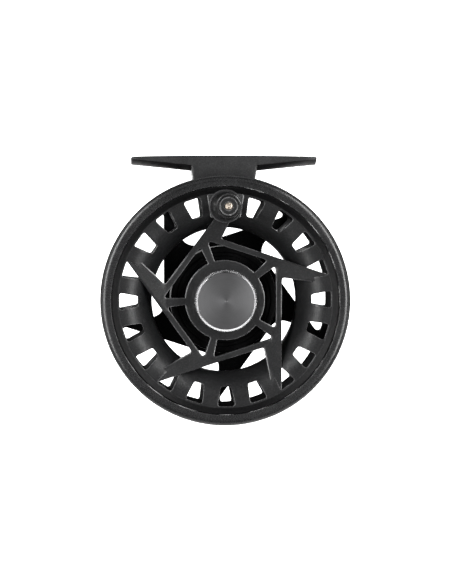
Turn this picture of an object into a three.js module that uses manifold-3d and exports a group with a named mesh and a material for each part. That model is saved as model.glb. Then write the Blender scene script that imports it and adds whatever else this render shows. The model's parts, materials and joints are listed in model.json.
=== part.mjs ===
// A large-arbor fly reel: a caged frame with its reel foot, a vented spool on a one-way clutch, a winding handle, a
// screw-on spool cap, and a sealed disc drag set by a knob at the back. Millimetres, +Z up. The origin is in the middle
// of the foot's rod side, the spool turns about Y, and -Y is the face that the handle is on.
import * as THREE from "three";
import { mergeVertices } from "three/addons/utils/BufferGeometryUtils.js";
import Module from "manifold-3d";

const wasm = await Module();
wasm.setup();

// Driving dimensions. A depth is measured back from the front face of the frame's ring.
const AXIS_DROP = 48.3; // from the foot's seat down to the spool's axis
const FRONT_Y = -16.5; // where depth 0 lies, so that the foot straddles Y = 0
const FOLD = 5; // arms of the spool's face, and of the frame's back
const RING = { outer: 43, bore: 39.5, depth: 4.5, round: 1.6, chamfer: 0.35 };
const BACK = { outer: 42.6, bore: 37.3, front: 28, rear: 31.5 };
const PILLAR = { inner: 39.8, outer: 42.5, halfAngle: 6, angles: [108, 180, 252], topHalfAngle: 17 };
const OPENING = { tangent: 20.4, start: -5.6, lean: 18, bend: 7.1, end: -7.4, corner: 2.6, turn: 54 };
const SPOOL = { outer: 39.15, lipDepth: 0.25, face: 1.5, throat: 25, middle: 14, wall: 1.4, seat: 36 };
const WINDOW = { count: 20, inner: 29.8, innerHalf: 1.75, outer: [36.4, 36.7], outerHalf: [3.07, 3.13], corner: 0.6 };
const SPIDER = { tangent: 19.38, bar: 1.79, hub: 13.8, hubFace: 4.9, thick: 3.4, rise: 3.4, corner: 0.7 };
const CAP = { radius: 10.6, front: -3, rear: 4.5, ridges: 36, ridge: 0.22 };
const HANDLE = { radius: 32.4, boss: 5.8, bossDepth: 0.4, post: 3 };
const CUP = { outer: 18.5, bore: 16.5, rim: 14.3, flange: 25.8 };
const HOUSING_SCREW = { ring: 14.6 };
const SHAFT = 2.9;
const KNOB = { radius: 15.5, bore: 12, front: 31.9, rear: 40.5, wall: 37.6, lobes: 10 };
const FOOT = { half: 32.15, width: 14, rim: 1.9, tip: 0.75, root: 2.95, rootX: 11.55 };
const PINS = { count: 3, ring: 9, radius: 1 };
const GEAR = { teeth: 24, tip: 10.5, root: 9.6, front: 15.2, rear: 16.6 };

const finish = (color, roughness, metalness) => new THREE.MeshStandardMaterial({ color, roughness, metalness });
const CASTING = finish(0x26272a, 0.5, 0.3);
const SILVER = finish(0xb9babc, 0.3, 0.9);
const STEEL = finish(0x9c9fa3, 0.3, 1);
const BRASS = finish(0xc8b08a, 0.35, 1);
const MOULDED = finish(0x1b1b1d, 0.5, 0);
const RUBBER = finish(0x111112, 0.85, 0);
const CARBON = finish(0x202124, 0.6, 0.1);

const radians = THREE.MathUtils.degToRad;
const yAt = (depth) => FRONT_Y + depth;

// A closed geometry as a manifold-3d solid.
function solid(geometry) {
  const bare = geometry.index ? geometry.toNonIndexed() : geometry.clone();
  bare.deleteAttribute("normal");
  bare.deleteAttribute("uv");
  const merged = mergeVertices(bare, 1e-4);
  const kept = [];
  for (let i = 0; i < merged.index.count; i += 3) {
    const [a, b, c] = [0, 1, 2].map((k) => merged.index.getX(i + k));
    if (a !== b && b !== c && a !== c) kept.push(a, b, c);
  }
  const made = new wasm.Mesh({
    numProp: 3,
    vertProperties: merged.attributes.position.array,
    triVerts: new Uint32Array(kept),
  });
  return new wasm.Manifold(made);
}

// A manifold-3d solid as a geometry.
function geometryOf(manifold) {
  const mesh = manifold.getMesh();
  const geometry = new THREE.BufferGeometry();
  geometry.setAttribute("position", new THREE.BufferAttribute(mesh.vertProperties.slice(0, mesh.numVert * 3), 3));
  geometry.setIndex(new THREE.BufferAttribute(mesh.triVerts, 1));
  geometry.computeVertexNormals();
  return geometry;
}

const unite = (solids) => solids.reduce((all, one) => all.add(one));
const cutAll = (body, tools) => tools.reduce((left, tool) => left.subtract(tool), body);

// A profile of [radius, depth] pairs turned about the axis. It closes on itself unless it starts and ends at radius 0.
function turned(profile, segments = 48) {
  const area = profile.reduce((sum, [r, d], i) => {
    const [r2, d2] = profile[(i + 1) % profile.length];
    return sum + r * d2 - r2 * d;
  }, 0);
  const ordered = area > 0 ? profile : [...profile].reverse();
  const points = ordered.map(([r, d]) => new THREE.Vector2(r, yAt(d)));
  if (ordered[0][0] > 0 || ordered.at(-1)[0] > 0) points.push(points[0].clone());
  return solid(new THREE.LatheGeometry(points, segments));
}

const tube = (inner, outer, front, rear, segments) =>
  turned([[inner, front], [outer, front], [outer, rear], [inner, rear]], segments);
const rod = (radius, front, rear, segments) =>
  turned([[0, front], [radius, front], [radius, rear], [0, rear]], segments);

// An outline of [x, z] pairs, seen from the front, made solid between two depths.
function prism(outline, front, rear) {
  const shape = outline.isShape ? outline : new THREE.Shape(outline.map(([x, z]) => new THREE.Vector2(x, z)));
  const made = new THREE.ExtrudeGeometry(shape, { depth: rear - front, bevelEnabled: false, curveSegments: 24 });
  return solid(made.rotateX(Math.PI / 2).translate(0, yAt(rear), 0));
}

// The outline with each corner replaced by an arc of the radius, or by the corner's own radius as its third value.
function rounded(corners, radius, steps = 3) {
  return corners.flatMap(([x, z, own], i) => {
    const here = new THREE.Vector2(x, z);
    const toward = (other) => new THREE.Vector2(other[0], other[1]).sub(here);
    const back = toward(corners.at(i - 1));
    const next = toward(corners[(i + 1) % corners.length]);
    const half = Math.acos(back.dot(next) / back.length() / next.length()) / 2;
    const size = own ?? radius;
    const reach = Math.min(size / Math.tan(half), 0.45 * Math.min(back.length(), next.length()));
    if (size === 0) return [[x, z]];
    const start = here.clone().addScaledVector(back.normalize(), reach);
    const end = here.clone().addScaledVector(next.normalize(), reach);
    const curve = new THREE.QuadraticBezierCurve(start, here, end);
    return curve.getPoints(steps).map((p) => [p.x, p.y]);
  });
}

// Where an arm's own axes lie: t runs outward along the arm and n points away from the axis to its straight edge.
// The angle is clockwise from +X, seen from the front.
function armPoint(angle, t, n) {
  const a = radians(angle);
  return [t * Math.cos(a) + n * Math.sin(a), -t * Math.sin(a) + n * Math.cos(a)];
}

const clockwise = (degrees) => new THREE.Matrix4().makeRotationY(radians(degrees));
const spun = (body, degrees) => body.rotate([0, degrees, 0]);
const around = (count, make) => Array.from({ length: count }, (_, i) => make((360 / count) * i, i));

// Part of a circle's rim, as an outline. Angles are clockwise from straight up.
function arcPoints(radius, from, to, steps) {
  return Array.from({ length: steps + 1 }, (_, i) => {
    const a = radians(from + ((to - from) * i) / steps);
    return [radius * Math.sin(a), radius * Math.cos(a)];
  });
}

function sector(inner, outer, centre, half, front, rear) {
  const steps = Math.max(2, Math.round(half / 3));
  const outerArc = arcPoints(outer, centre - half, centre + half, steps);
  const innerArc = arcPoints(inner, centre + half, centre - half, steps);
  return prism([...outerArc, ...innerArc].reverse(), front, rear);
}

// ---- Spool ----

// The vented wall: a round-bottomed channel for the line, whose inside shows from the front.
function spoolShell() {
  const steps = 4;
  const reach = SPOOL.seat - SPOOL.throat;
  const rise = SPOOL.middle - SPOOL.face;
  const curve = (radial, axial) =>
    Array.from({ length: 2 * steps + 1 }, (_, i) => {
      const a = Math.PI / 2 - (Math.PI * i) / (2 * steps);
      return [SPOOL.seat - radial * Math.cos(a), SPOOL.middle - axial * Math.sin(a)];
    });
  const inside = curve(reach, rise);
  const lineSide = curve(reach - SPOOL.wall, rise - SPOOL.wall).reverse();
  const rear = 2 * SPOOL.middle - SPOOL.face;
  const profile = [
    [SPOOL.outer, SPOOL.lipDepth],
    [SPOOL.outer - 0.35, SPOOL.lipDepth],
    [SPOOL.seat + 0.9, SPOOL.face],
    ...inside,
    [SPOOL.outer, rear],
    [SPOOL.outer, rear - SPOOL.wall],
    ...lineSide,
    [SPOOL.outer, SPOOL.face + SPOOL.wall],
  ];
  return turned(profile, 2 * WINDOW.count);
}

// A tapered window through the front wall (side 0) or the rear one (side 1).
function windowCutter(degrees, side) {
  const [outer, half] = [WINDOW.outer[side], WINDOW.outerHalf[side]];
  const corners = [[-half, outer], [-WINDOW.innerHalf, WINDOW.inner], [WINDOW.innerHalf, WINDOW.inner], [half, outer]];
  const [front, rear] = side ? [SPOOL.middle, 30] : [-1, SPOOL.middle];
  return spun(prism(rounded(corners, WINDOW.corner, 1), front, rear), degrees);
}

// The corners of one arm of the spool's face, in that arm's own axes: [t, n].
const ARM = {
  root: [16.35, 13.48], // where the arm's inner edge leaves the next arm's straight edge
  innerEnd: [36, 17.0],
  spokeNear: [9.79, SPIDER.tangent - SPIDER.bar], // the hub spoke's two edges, where they meet the bars
  spokeFar: [13.04, 16.79],
  hubNear: [6.69, 12.05],
  hubFar: [8.75, 10.65],
};

const angleOf = ([x, z]) => THREE.MathUtils.radToDeg(Math.atan2(x, z));

// The gap between an arm's inner edge and the next arm's straight edge, out to the spool's wall.
function armGap(angle) {
  const root = armPoint(angle, ...ARM.root);
  const end = armPoint(angle, ...ARM.innerEnd);
  const nextEnd = armPoint(angle + 360 / FOLD, Math.sqrt(SPOOL.seat ** 2 - SPIDER.tangent ** 2), SPIDER.tangent);
  const from = angleOf(end);
  const to = angleOf(nextEnd);
  const sweep = (to - from + 360) % 360;
  const rim = arcPoints(SPOOL.seat + 1, from, from + sweep, 6).map(([x, z]) => [x, z, 0]);
  return rounded([[...root, SPIDER.corner], ...rim], 0);
}

// The window between the hub ring, two hub spokes and a bar.
function hubGap(angle) {
  const before = angle - 360 / FOLD;
  const near = armPoint(angle, ...ARM.hubNear);
  const far = armPoint(before, ...ARM.hubFar);
  const from = angleOf(far);
  const sweep = (angleOf(near) - from + 360) % 360;
  const hub = arcPoints(SPIDER.hub, from, from + sweep, 5).map(([x, z]) => [x, z, 0]);
  const outer = [armPoint(angle, ...ARM.spokeNear), armPoint(before, ...ARM.spokeFar)];
  return rounded([...hub, ...outer.map((p) => [...p, SPIDER.corner])], 0);
}

// The face: a dished plate with the gaps cut out, which leaves five arms, a five-sided band and the hub spokes.
function spoolFace() {
  const flat = SPIDER.tangent + 1;
  const plate = turned(
    [
      [SPIDER.hub - 2, SPIDER.hubFace],
      [flat, SPIDER.hubFace],
      [SPOOL.seat + 0.6, SPIDER.hubFace - SPIDER.rise],
      [SPOOL.seat + 0.6, SPIDER.hubFace - SPIDER.rise + 1],
      [flat + 8, SPIDER.hubFace + SPIDER.thick - 1.2],
      [flat, SPIDER.hubFace + SPIDER.thick],
      [SPIDER.hub - 2, SPIDER.hubFace + SPIDER.thick],
    ],
    2 * WINDOW.count,
  );
  const gaps = around(FOLD, (turn) => [armGap(90 + turn), hubGap(90 + turn)]).flat();
  return cutAll(plate, gaps.map((outline) => prism(outline, 0, 12)));
}

function spoolSolid() {
  const windows = around(WINDOW.count, (turn, i) => [windowCutter(turn, 1), ...(i ? [windowCutter(turn, 0)] : [])]).flat();
  const shell = cutAll(spoolShell(), windows);
  const hub = tube(9.1, SPIDER.hub, SPIDER.hubFace, 12, 40);
  const boss = rod(HANDLE.boss, HANDLE.bossDepth, SPOOL.face + SPOOL.wall, 28).translate([0, 0, HANDLE.radius]);
  const pad = prism(
    [[-5, 28.6], [5, 28.6], [6.3, 36.4], [-6.3, 36.4]],
    SPOOL.face - 0.3,
    SPOOL.face + 1.2,
  );
  const screwHole = rod(1.2, -1, 4, 16).translate([0, 0, HANDLE.radius]);
  return cutAll(unite([shell, spoolFace(), hub, boss, pad]), [screwHole]);
}

// ---- Frame ----

// One gap of the frame's back, between a straight edge, the next arm's leaning edge and the ring's own curve.
function backOpening(angle) {
  const { tangent, start, lean, bend, end, corner } = OPENING;
  const onRim = (t) => Math.sqrt(BACK.bore ** 2 - t ** 2);
  const ends = [
    [start, tangent],
    [onRim(tangent), tangent],
    [end, onRim(end)],
    [start - bend * Math.tan(radians(lean)), tangent + bend],
  ];
  const [root, tip, far, knee] = ends.map(([t, n]) => armPoint(angle, t, n));
  const sweep = (angleOf(tip) - angleOf(far) + 360) % 360;
  const middle = arcPoints(BACK.bore, angleOf(tip) - 11, angleOf(tip) + 11 - sweep, 7).map((p) => [...p, 0]);
  return rounded([root, tip, ...middle, far, [...knee, 6]], corner, 3);
}

function frameRing() {
  const { outer, bore, depth, round, chamfer } = RING;
  return turned(
    [
      [bore, chamfer],
      [bore + chamfer, 0],
      [outer - round, 0],
      [outer - 0.3 * round, 0.3 * round],
      [outer, round],
      [outer, depth - 0.5],
      [outer - 0.5, depth],
      [bore, depth],
    ],
    60,
  );
}

// The frame's four pillars: the broad one at the top carries the foot.
function framePillar(angle) {
  const half = angle ? PILLAR.halfAngle : PILLAR.topHalfAngle;
  const body = sector(PILLAR.inner, PILLAR.outer, angle, half, RING.depth, BACK.front);
  return angle ? body : cutAll(body, footScrewHoles());
}

function frameBack() {
  const { outer, front, rear } = BACK;
  const plate = turned([[0, front], [outer, front], [outer, rear - 1], [outer - 1, rear], [0, rear]], 60);
  const openings = around(FOLD, (turn) => prism(backOpening(OPENING.turn + turn), front - 1, rear + 1));
  const holes = around(3, (turn) => [
    spun(rod(PINS.radius + 0.3, front - 1, rear + 1, 16).translate([0, 0, PINS.ring]), turn),
    spun(rod(1.05, front - 1, rear + 1, 12).translate([0, 0, HOUSING_SCREW.ring]), turn),
    spun(rod(1.8, rear - 1.9, rear + 1, 16).translate([0, 0, HOUSING_SCREW.ring]), turn),
  ]).flat();
  const detentHole = rod(1.2, 28.8, rear + 1, 16).translate([0, 0, -13.8]);
  return cutAll(plate, [...openings, ...holes, detentHole, rod(SHAFT + 0.3, front - 1, rear + 1, 24)]);
}

// The drag's housing: a cup with an inward flange, which three screws hold to the frame's back.
function dragHousing() {
  const wall = [[CUP.bore, CUP.rim], [CUP.outer, CUP.rim], [CUP.outer, BACK.front]];
  const flange = [[12.6, BACK.front], [12.6, CUP.flange], [CUP.bore, CUP.flange]];
  const holes = around(3, (turn) =>
    spun(rod(0.95, CUP.flange - 1, BACK.front + 1, 12).translate([0, 0, HOUSING_SCREW.ring]), turn));
  return cutAll(turned([...wall, ...flange], 48), holes);
}

function housingScrew(turn) {
  const { rear } = BACK;
  const body = turned([[0, 26], [0.85, 26], [0.85, rear - 1.8], [1.6, rear - 1.8], [1.6, rear - 0.4], [0, rear - 0.4]], 16);
  const socket = rod(0.7, rear - 1.2, rear + 1, 6);
  return spun(body.subtract(socket).translate([0, 0, HOUSING_SCREW.ring]), turn);
}

// ---- Foot ----

const FOOT_SCREWS = [-6, 6];

const upright = (body, x) => body.rotate([-90, 0, 0]).translate([x, 0, 0]);

// A turned piece stood on end at a given x: profile pairs are [radius, height above the axis].
function standing(profile, x) {
  const flipped = profile.map(([r, z]) => [r, -FRONT_Y - z]);
  return upright(turned(flipped, 20), x);
}

function footScrewHoles() {
  const bored = [[0, 38], [2.9, 38], [2.9, 41], [1.8, 41], [1.8, 48], [0, 48]];
  return FOOT_SCREWS.map((x) => standing(bored, x));
}

function footScrew(x) {
  const body = [[0, 39.7], [2.6, 39.7], [2.6, 40.8], [1.5, 40.8], [1.5, 46], [0, 46]];
  const socket = [[0, 39], [1.2, 39], [1.2, 40.4], [0, 40.4]];
  return standing(body, x).subtract(standing(socket, x));
}

// Rings of points, one after another toward +X, joined into one closed skin. Each ring runs clockwise seen from +X.
function loft(rings) {
  const size = rings[0].length;
  const index = [];
  for (let s = 0; s + 1 < rings.length; s++)
    for (let i = 0; i < size; i++) {
      const [a, b] = [s * size + i, s * size + ((i + 1) % size)];
      index.push(a, a + size, b, b, a + size, b + size);
    }
  const last = (rings.length - 1) * size;
  const flat = rings[0].map(([, y, z]) => new THREE.Vector2(y, z));
  for (const [a, b, c] of THREE.ShapeUtils.triangulateShape(flat, [])) {
    const turn = flat[b].clone().sub(flat[a]).cross(flat[c].clone().sub(flat[a]));
    const [p, q] = turn > 0 ? [b, c] : [c, b];
    index.push(a, q, p, last + a, last + p, last + q);
  }
  const geometry = new THREE.BufferGeometry();
  geometry.setAttribute("position", new THREE.Float32BufferAttribute(rings.flat(2), 3));
  geometry.setIndex(index);
  return solid(geometry);
}

// The foot's section at x: dished on the rod side, with a flat strip down the middle, and rounded below.
function footSection(x, halfWidth) {
  const share = Math.min(1, (FOOT.half - Math.abs(x)) / (FOOT.half - FOOT.rootX));
  const thick = FOOT.tip + (FOOT.root - FOOT.tip) * share;
  const rise = (y) => FOOT.rim * (Math.max(0, Math.abs(y) - 1.5) / (FOOT.width / 2 - 1.5)) ** 1.6;
  const across = [-1, -0.72, -0.45, -0.214, 0.214, 0.45, 0.72, 1].map((share2) => share2 * halfWidth);
  const top = across.map((y) => [x, y, AXIS_DROP + rise(y)]);
  const under = [...across].reverse().map((y) => [x, y, AXIS_DROP + rise(y) - thick]);
  return [...top, ...under];
}

function footSolid() {
  const half = FOOT.width / 2;
  const stations = [[FOOT.half, half - 1.6], [FOOT.half - 0.5, half - 0.6], [FOOT.half - 1.6, half], [FOOT.rootX, half]];
  const all = [...stations.map(([x, w]) => [-x, w]), ...stations.reverse()];
  const wings = loft(all.map(([x, w]) => footSection(x, w)));
  const middle = -FRONT_Y;
  const stem = prism(
    [[-10.75, 40], [10.75, 40], [FOOT.rootX, AXIS_DROP - 1.2], [-FOOT.rootX, AXIS_DROP - 1.2]],
    middle - half,
    middle + half,
  );
  const saddle = rod(PILLAR.outer + 0.3, 0, 33, 72);
  return cutAll(unite([wings, stem]), [saddle, ...footScrewHoles()]);
}

// ---- Handle, cap and knob ----

const onHandle = (body) => body.translate([0, 0, HANDLE.radius]);
const fromBoss = (h) => HANDLE.bossDepth - h; // depth of a point that stands h in front of the handle's boss

function handleKnob() {
  const outside = [[4.3, 0.6], [4.75, 1.1], [4.8, 2.6], [4.3, 5.5], [3.85, 9.5], [3.85, 12.5], [4.1, 16.5], [4.15, 18.7], [3.75, 19.4]];
  const recess = [[3.4, 19.4], [3.35, 18.6], [HANDLE.post + 0.25, 18.6], [HANDLE.post + 0.25, 0.6]];
  return onHandle(turned([...outside, ...recess].map(([r, h]) => [r, fromBoss(h)]), 32));
}

function handlePost() {
  const shape = [[1.1, 0.1], [HANDLE.post, 0.1], [HANDLE.post, 18.9], [1.9, 18.9], [1.2, 17.9], [1.1, 17.9]];
  return onHandle(turned(shape.map(([r, h]) => [r, fromBoss(h)]), 28));
}

function handleScrew() {
  const shape = [[0, -2], [0.9, -2], [0.9, 18], [1.4, 18.6], [1.25, 19.1], [0, 19.3]];
  const blade = prism([[-0.95, -0.16], [0.95, -0.16], [0.95, 0.16], [-0.95, 0.16]], fromBoss(19.6), fromBoss(18.8));
  const body = cutAll(turned(shape.map(([r, h]) => [r, fromBoss(h)]), 20), [blade, spun(blade, 90)]);
  return onHandle(spun(body, 45));
}

function handleWasher() {
  return onHandle(tube(HANDLE.post + 0.1, 4.2, fromBoss(0.45), fromBoss(0.1), 28));
}

// The cap: a knurled drum with a plain bevelled front, and the screw stem behind it.
function spoolCap() {
  const steps = 2 * CAP.ridges;
  const knurl = Array.from({ length: steps }, (_, i) => {
    const a = (2 * Math.PI * i) / steps;
    const r = CAP.radius - (i % 2) * CAP.ridge;
    return [r * Math.sin(-a), r * Math.cos(a)];
  });
  const drum = prism(knurl, CAP.front + 0.9, CAP.rear);
  const bevel = turned([[0, CAP.front], [CAP.radius - 1, CAP.front], [CAP.radius - 0.3, CAP.front + 0.9],
    [0, CAP.front + 0.9]], 36);
  const hollow = tube(2.4, 9.4, 0.5, CAP.rear + 1, 24);
  return unite([drum, bevel]).subtract(hollow).add(rod(1.5, 1, 12, 16));
}

function spindle() {
  const body = turned(
    [[0, 5.6], [SHAFT, 5.6], [SHAFT, 26.6], [5.5, 26.6], [5.5, 27.8], [SHAFT, 27.8], [SHAFT, 37.2], [0, 37.2]],
    32,
  );
  return cutAll(body, [rod(1.8, 4, 14, 20), rod(1.45, 33, 38, 16)]);
}

function dragKnob() {
  const steps = 5 * KNOB.lobes;
  const lobed = Array.from({ length: steps }, (_, i) => {
    const a = (2 * Math.PI * i) / steps;
    const r = KNOB.radius - 0.45 + 0.45 * Math.cos(KNOB.lobes * a);
    return [r * Math.sin(-a), r * Math.cos(a)];
  });
  const body = prism(lobed, KNOB.front + 1, KNOB.rear - 1);
  const skirt = rod(KNOB.radius - 0.9, KNOB.front, KNOB.front + 1.2, 40);
  const crown = turned(
    [[0, KNOB.rear - 1.2], [KNOB.radius - 0.95, KNOB.rear - 1.2], [KNOB.radius - 1.9, KNOB.rear], [0, KNOB.rear]],
    40,
  );
  const cuts = [
    rod(KNOB.bore, KNOB.front - 1, KNOB.wall, 36),
    rod(1.7, KNOB.wall - 1, KNOB.rear + 1, 20),
    rod(3.8, KNOB.rear - 2.1, KNOB.rear + 1, 28),
    ...around(8, (turn) =>
      spun(rod(0.9, KNOB.front - 0.1, KNOB.front + 0.5, 6).translate([0, 0, 13.8]), turn)),
  ];
  return cutAll(unite([body, skirt, crown]), cuts);
}

function knobScrew() {
  const body = turned([[0, 33.6], [1.15, 33.6], [1.15, 38.7], [3.4, 38.7], [3.4, 39.6], [2.9, 40.1], [0, 40.1]], 24);
  const slot = prism([[-3.6, -0.35], [3.6, -0.35], [3.6, 0.35], [-3.6, 0.35]], 39.4, 41);
  return body.subtract(slot);
}

// ---- Drag ----

function dragCover() {
  return turned(
    [
      [6.9, 12.5], [14.2, 12.5], [14.5, 12.9], [15.3, 12.9], [15.6, 12.5], [CUP.outer - 0.3, 12.5],
      [CUP.outer, 12.8], [CUP.outer, 14.1], [CUP.bore - 0.2, 14.1], [CUP.bore - 0.2, 14.7], [8.4, 14.7],
      [8.4, 13.4], [6.9, 13.4],
    ],
    40,
  );
}

function dragRotor() {
  return turned(
    [[5.1, 5.6], [6.1, 5.6], [6.1, 19.2], [14.6, 19.2], [14.6, 20.8], [6.1, 20.8], [6.1, 21.4], [5.1, 21.4]],
    40,
  );
}

// A disc with lugs that run in the drag housing's slots, so that it can't turn.
function keyedDisc(bore, radius, front, rear) {
  const lug = () => sector(radius - 1, CUP.bore - 0.25, 0, 8, front, rear);
  const lugs = around(4, (turn) => spun(lug(), turn));
  return unite([tube(bore, radius, front, rear, 40), ...lugs]);
}

function clickGear() {
  const outline = around(GEAR.teeth, (turn) => [
    arcPoints(GEAR.tip, turn, turn, 1)[0],
    arcPoints(GEAR.root, turn - 180 / GEAR.teeth, turn, 1)[0],
  ]).flatMap(([tip, root]) => [root, tip]).reverse();
  return prism(outline, GEAR.front, GEAR.rear).subtract(rod(6.2, GEAR.front - 1, GEAR.rear + 1, 40));
}

const PAWL = { pivot: 13.7, tip: 10.85 };

function clickPawl() {
  const corners = [[PAWL.tip, 0, 0.2], [PAWL.pivot - 0.5, 1.45], [15.3, 1.1], [15.3, -1.1], [PAWL.pivot - 0.5, -1.45]];
  const body = prism(rounded(corners, 0.8, 4), GEAR.front, GEAR.rear);
  return body.subtract(rod(0.85, GEAR.front - 1, GEAR.rear + 1, 16).translate([PAWL.pivot, 0, 0]));
}

const pawlPin = () => rod(0.6, 14.9, GEAR.rear + 0.15, 16).translate([PAWL.pivot, 0, 0]);

// A leaf that presses on the pawl's tail from the housing's wall.
const clickSpring = () => sector(15.55, 15.8, 90, 24, GEAR.front + 0.2, GEAR.rear - 0.2);

function springWasher(front) {
  return turned([[6.6, front], [6.6, front + 0.35], [10.6, front + 0.75], [10.6, front + 0.4]], 36);
}

const thrustRing = () => tube(7.6, 11.6, 33.3, 35.3, 40);

function thrustPin(turn) {
  return spun(rod(PINS.radius, 25.75, 33, 16).translate([0, 0, PINS.ring]), turn);
}

function hexNut() {
  const outline = around(6, (turn) => arcPoints(4.6, turn, turn, 1)[0]).reverse();
  return prism(outline, 31.8, 33.4).subtract(rod(SHAFT + 0.2, 31, 34, 24));
}

function ballBearing(front) {
  return turned(
    [[3, front], [3.7, front], [4, front + 0.3], [4.3, front], [5, front], [5, front + 3], [3, front + 3]],
    24,
  );
}

// ---- Assembly ----

const pieces = [
  ["frame_ring", frameRing(), CASTING],
  ["frame_back", frameBack(), CASTING],
  ...[0, ...PILLAR.angles].map((angle, i) => [`frame_pillar_${i + 1}`, framePillar(angle), CASTING]),
  ["drag_housing", dragHousing(), CASTING],
  ...around(3, (turn, i) => [`housing_screw_${i + 1}`, housingScrew(turn), STEEL]),
  ["reel_foot", footSolid(), CASTING],
  ...FOOT_SCREWS.map((x, i) => [`foot_screw_${i + 1}`, footScrew(x), STEEL]),
  ["spindle", spindle(), STEEL],
  ["spindle_nut", hexNut(), STEEL],
  ["drag_cover", dragCover(), CASTING],
  ["cover_seal", tube(6.35, 8.1, 13.6, 14.6, 32), RUBBER],
  ["fixed_drag_plate", keyedDisc(6.5, 15.2, 17, 18), STEEL],
  ["carbon_disc_front", tube(6.6, 14.4, 18.2, 19, 40), CARBON],
  ["pawl_pin", pawlPin(), STEEL],
  ["click_spring", clickSpring(), STEEL],
  ["detent_plunger", rod(0.9, 29.9, 31.8, 14).translate([0, 0, -13.8]), STEEL],
  ["detent_spring", tube(0.4, 0.9, 28.95, 29.7, 14).translate([0, 0, -13.8]), STEEL],
  ["knob_screw", knobScrew(), STEEL],
  ["click_pawl", clickPawl(), STEEL],
  ["drag_rotor", dragRotor(), STEEL],
  ["click_gear", clickGear(), BRASS],
  ["bearing_front", ballBearing(6), STEEL],
  ["bearing_rear", ballBearing(17.9), STEEL],
  ["carbon_disc_rear", tube(6.6, 14.4, 21, 21.8, 40), CARBON],
  ["pressure_plate", keyedDisc(4.2, 15.2, 22.4, 23.6), STEEL],
  ["spring_washer_1", springWasher(23.85), STEEL],
  ["spring_washer_2", springWasher(24.75), STEEL],
  ["thrust_ring", thrustRing(), BRASS],
  ...around(PINS.count, (turn, i) => [`thrust_pin_${i + 1}`, thrustPin(turn), STEEL]),
  ["drag_knob", dragKnob(), MOULDED],
  ["spool", spoolSolid(), CASTING],
  ["one_way_clutch", tube(6.2, 8.9, 6, 11.9, 40), STEEL],
  ["handle_post", handlePost(), MOULDED],
  ["handle_screw", handleScrew(), BRASS],
  ["handle_washer", handleWasher(), STEEL],
  ["handle_knob", handleKnob(), MOULDED],
  ["spool_cap", spoolCap(), SILVER],
  ["cap_washer", tube(1.65, 2.8, 4.65, 5.4, 20), MOULDED],
];

const reel = new THREE.Group();
reel.position.z = -AXIS_DROP;
for (const [name, body, material] of pieces) {
  const mesh = new THREE.Mesh(geometryOf(body), material);
  mesh.name = name;
  reel.add(mesh);
}

const root = new THREE.Group();
root.add(reel);

export default root;
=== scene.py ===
import json
import math

import bmesh
import bpy
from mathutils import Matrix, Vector


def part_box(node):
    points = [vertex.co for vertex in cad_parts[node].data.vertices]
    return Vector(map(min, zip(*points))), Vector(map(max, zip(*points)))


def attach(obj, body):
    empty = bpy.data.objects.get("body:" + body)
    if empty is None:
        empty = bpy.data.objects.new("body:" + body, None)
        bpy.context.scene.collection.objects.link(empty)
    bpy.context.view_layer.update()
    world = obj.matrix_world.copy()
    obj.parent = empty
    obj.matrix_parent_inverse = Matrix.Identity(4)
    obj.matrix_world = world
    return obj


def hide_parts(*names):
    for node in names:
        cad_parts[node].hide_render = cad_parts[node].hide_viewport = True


# The looks of a large-arbor fly reel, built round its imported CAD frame. Lengths are in millimetres unless a comment
# says otherwise. A depth is measured back from the front face of the frame's ring, and a radius from the spool's axis,
# which is parallel to Y. Angles are in degrees, clockwise from straight up, seen from the front.

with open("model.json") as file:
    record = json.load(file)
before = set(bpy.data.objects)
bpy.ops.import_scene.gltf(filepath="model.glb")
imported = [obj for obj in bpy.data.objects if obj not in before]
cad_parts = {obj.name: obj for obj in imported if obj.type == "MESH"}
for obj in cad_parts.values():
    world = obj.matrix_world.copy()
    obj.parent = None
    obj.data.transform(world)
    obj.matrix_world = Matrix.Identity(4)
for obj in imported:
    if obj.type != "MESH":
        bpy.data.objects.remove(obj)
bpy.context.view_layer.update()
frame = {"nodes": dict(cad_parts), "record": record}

MM = 0.001

# ---- Places, from the frame ----

ring_low, ring_high = (Vector(corner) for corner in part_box("frame_ring"))
AXIS_X = (ring_low.x + ring_high.x) / 2 / MM
AXIS_Z = (ring_low.z + ring_high.z) / 2 / MM
FRONT_Y = ring_low.y / MM
RING_RADIUS = (ring_high.x - ring_low.x) / 2 / MM


def depth_of(node, side):
    """The depth of a node's front (side 0) or back (side 1)."""
    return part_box(node)[side][1] / MM - FRONT_Y


def radius_of(node):
    low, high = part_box(node)
    return (high[0] - low[0]) / 2 / MM


# ---- Driving dimensions ----

FOLD = 5  # arms of the spool, and openings of the back
FOLD_TURN = 72
FRAME = {"bore": 39.33, "bore_chamfer": 0.14, "ring_depth": 4.5, "ring_round": 3.25, "ring_sweep": 50,
         "back": (28.0, 31.5), "back_outer": 42.6, "back_bore": 37.3}
PILLARS = {"inner": 39.8, "outer": 42.5, "top_half": 17, "half": 6, "angles": (108, 180, 252)}
OPENING = {"tangent": 20.4, "start": -5.6, "lean": 18, "bend": 7.1, "end": -7.4, "corner": 2.6, "root": 6, "turn": 54}
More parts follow.
